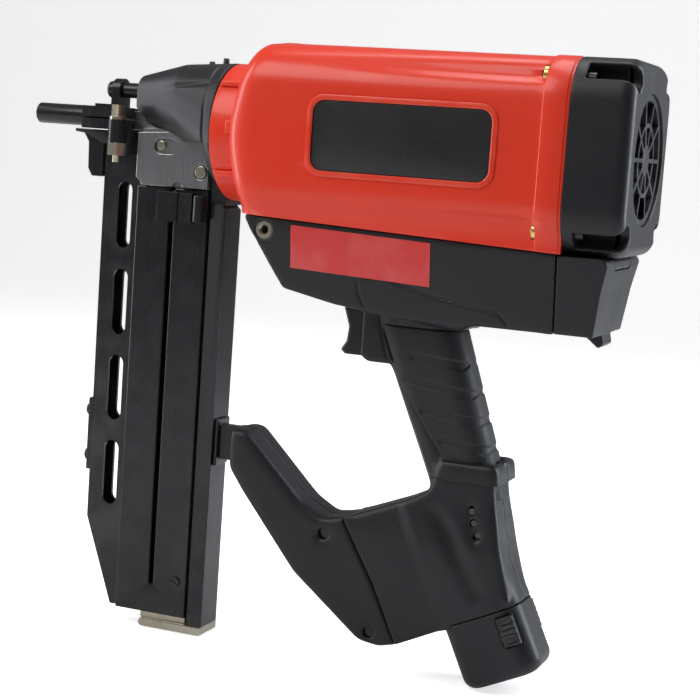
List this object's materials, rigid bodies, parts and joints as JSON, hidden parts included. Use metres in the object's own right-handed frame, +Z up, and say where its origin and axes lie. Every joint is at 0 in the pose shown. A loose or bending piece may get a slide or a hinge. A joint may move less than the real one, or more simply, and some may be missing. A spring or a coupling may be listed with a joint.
{
  "type": "gas fencing stapler",
  "caption": "Cordless combustion-driven fencing stapler with a tall slotted magazine, pistol grip, battery pod and sliding work contact.",
  "frame": {"origin": "middle of the tool's footprint box, on the surface it stands on", "axes": "-X towards the muzzle, +X towards the rear cap, +Y to the user's right, +Z up"},
  "size_m": [0.417, 0.108, 0.3905],
  "materials": {
    "red_housing_plastic": "fine moulded texture",
    "black_plastic": "fine moulded texture",
    "grip_rubber": "matt",
    "black_oxide_steel": "satin",
    "black_anodised_aluminium": "satin, drawn along its length",
    "grey_steel": "rolled",
    "zinc_plate": "zinc plated",
    "cast_aluminium": "as cast",
    "brass": "turned",
    "blank_badge": "gloss",
    "blank_label": "satin",
    "bumper_rubber": "matt",
    "filter_foam": "open foam",
    "ceramic_plug": "glazed",
    "lamp_lens": "clear",
    "circuit_board": "board",
    "fuel_can": "lacquered",
    "cell_wrap": "wrap"
  },
  "bodies": {
    "housing": {"main_housing": "red_housing_plastic", "side_badges": "blank_badge", "housing_inserts": "brass", "cap_screws": "zinc_plate", "rear_cap": "black_plastic", "intake_grille": "black_plastic", "air_filter": "filter_foam", "cylinder": "cast_aluminium", "bumper": "bumper_rubber", "cylinder_head": "cast_aluminium", "fan_motor": "cast_aluminium", "spark_plug": "ceramic_plug", "nose_block": "grey_steel", "nose_plates": "grey_steel", "nose_pins": "zinc_plate", "nose_cover": "black_plastic", "muzzle_bracket": "black_oxide_steel", "staple_guides": "black_oxide_steel", "front_strip": "black_oxide_steel", "front_bracket": "black_oxide_steel", "front_rivets": "black_oxide_steel", "magazine_channel": "black_anodised_aluminium", "rear_rail": "black_oxide_steel", "foot_plate": "zinc_plate", "magazine_screw": "zinc_plate", "magazine_bracket": "black_oxide_steel", "handle_shell_left": "black_plastic", "handle_shell_right": "black_plastic", "grip_cover": "grip_rubber", "hook_insert": "zinc_plate", "data_label": "blank_label", "status_lights": "lamp_lens", "trigger_circuit": "circuit_board", "trigger_spring": "zinc_plate", "return_springs": "zinc_plate", "door_pin": "grey_steel", "fuel_cell": "fuel_can", "arm_shell_left": "black_plastic", "arm_shell_right": "black_plastic", "shell_screws": "zinc_plate"},
    "contact_assembly": {"contact_tube": "black_oxide_steel", "contact_bracket": "black_oxide_steel", "bracket_screw": "black_oxide_steel", "clamp_bolt_and_nut": "zinc_plate", "link_rod": "black_oxide_steel", "chamber_linkage": "grey_steel", "combustion_chamber": "cast_aluminium"},
    "driver": {"piston": "cast_aluminium", "driver_blade": "grey_steel"},
    "fan": {"fan": "grey_steel"},
    "trigger": {"trigger": "black_plastic"},
    "follower": {"follower": "grey_steel", "follower_thumb": "black_oxide_steel", "spring_roll": "black_oxide_steel"},
    "fuel_door": {"fuel_door": "black_plastic"},
    "battery": {"battery_case": "black_plastic", "battery_cells": "cell_wrap"},
    "battery_button_left": {"battery_button_left": "black_plastic"},
    "battery_button_right": {"battery_button_right": "black_plastic"}
  },
  "joints": [
    {"name": "contact_slide", "type": "slide", "parent": "housing", "child": "contact_assembly", "axis": [1, 0, 0], "range_m": [0, 0.008], "stiffness_N_per_m": 2500, "springref_m": -0.006, "deforming": ["return_springs"]},
    {"name": "driver_stroke", "type": "slide", "parent": "housing", "child": "driver", "axis": [-1, 0, 0], "range_m": [0, 0.08]},
    {"name": "fan_spin", "type": "hinge", "parent": "housing", "child": "fan", "pos_m": [0.1115, 0, 0.3375], "axis": [1, 0, 0], "continuous": true},
    {"name": "trigger_pull", "type": "slide", "parent": "housing", "child": "trigger", "axis": [1, 0, 0], "range_m": [0, 0.007], "stiffness_N_per_m": 700, "springref_m": -0.006, "deforming": ["trigger_spring"]},
    {"name": "follower_slide", "type": "slide", "parent": "housing", "child": "follower", "axis": [0, 0, -1], "range_m": [0, 0.235], "stiffness_N_per_m": 16, "springref_m": -0.7},
    {"name": "fuel_door_hinge", "type": "hinge", "parent": "housing", "child": "fuel_door", "pos_m": [0.195, 0, 0.271], "axis": [0, -1, 0], "range_deg": [0, 85]},
    {"name": "battery_slide", "type": "slide", "parent": "housing", "child": "battery", "axis": [0.4305, 0, -0.9026], "range_m": [0, 0.07]},
    {"name": "battery_button_left_press", "type": "slide", "parent": "battery", "child": "battery_button_left", "axis": [0, 1, 0], "range_m": [0, 0.002], "stiffness_N_per_m": 600, "springref_m": -0.003},
    {"name": "battery_button_right_press", "type": "slide", "parent": "battery", "child": "battery_button_right", "axis": [0, -1, 0], "range_m": [0, 0.002], "stiffness_N_per_m": 600, "springref_m": -0.003}
  ]
}
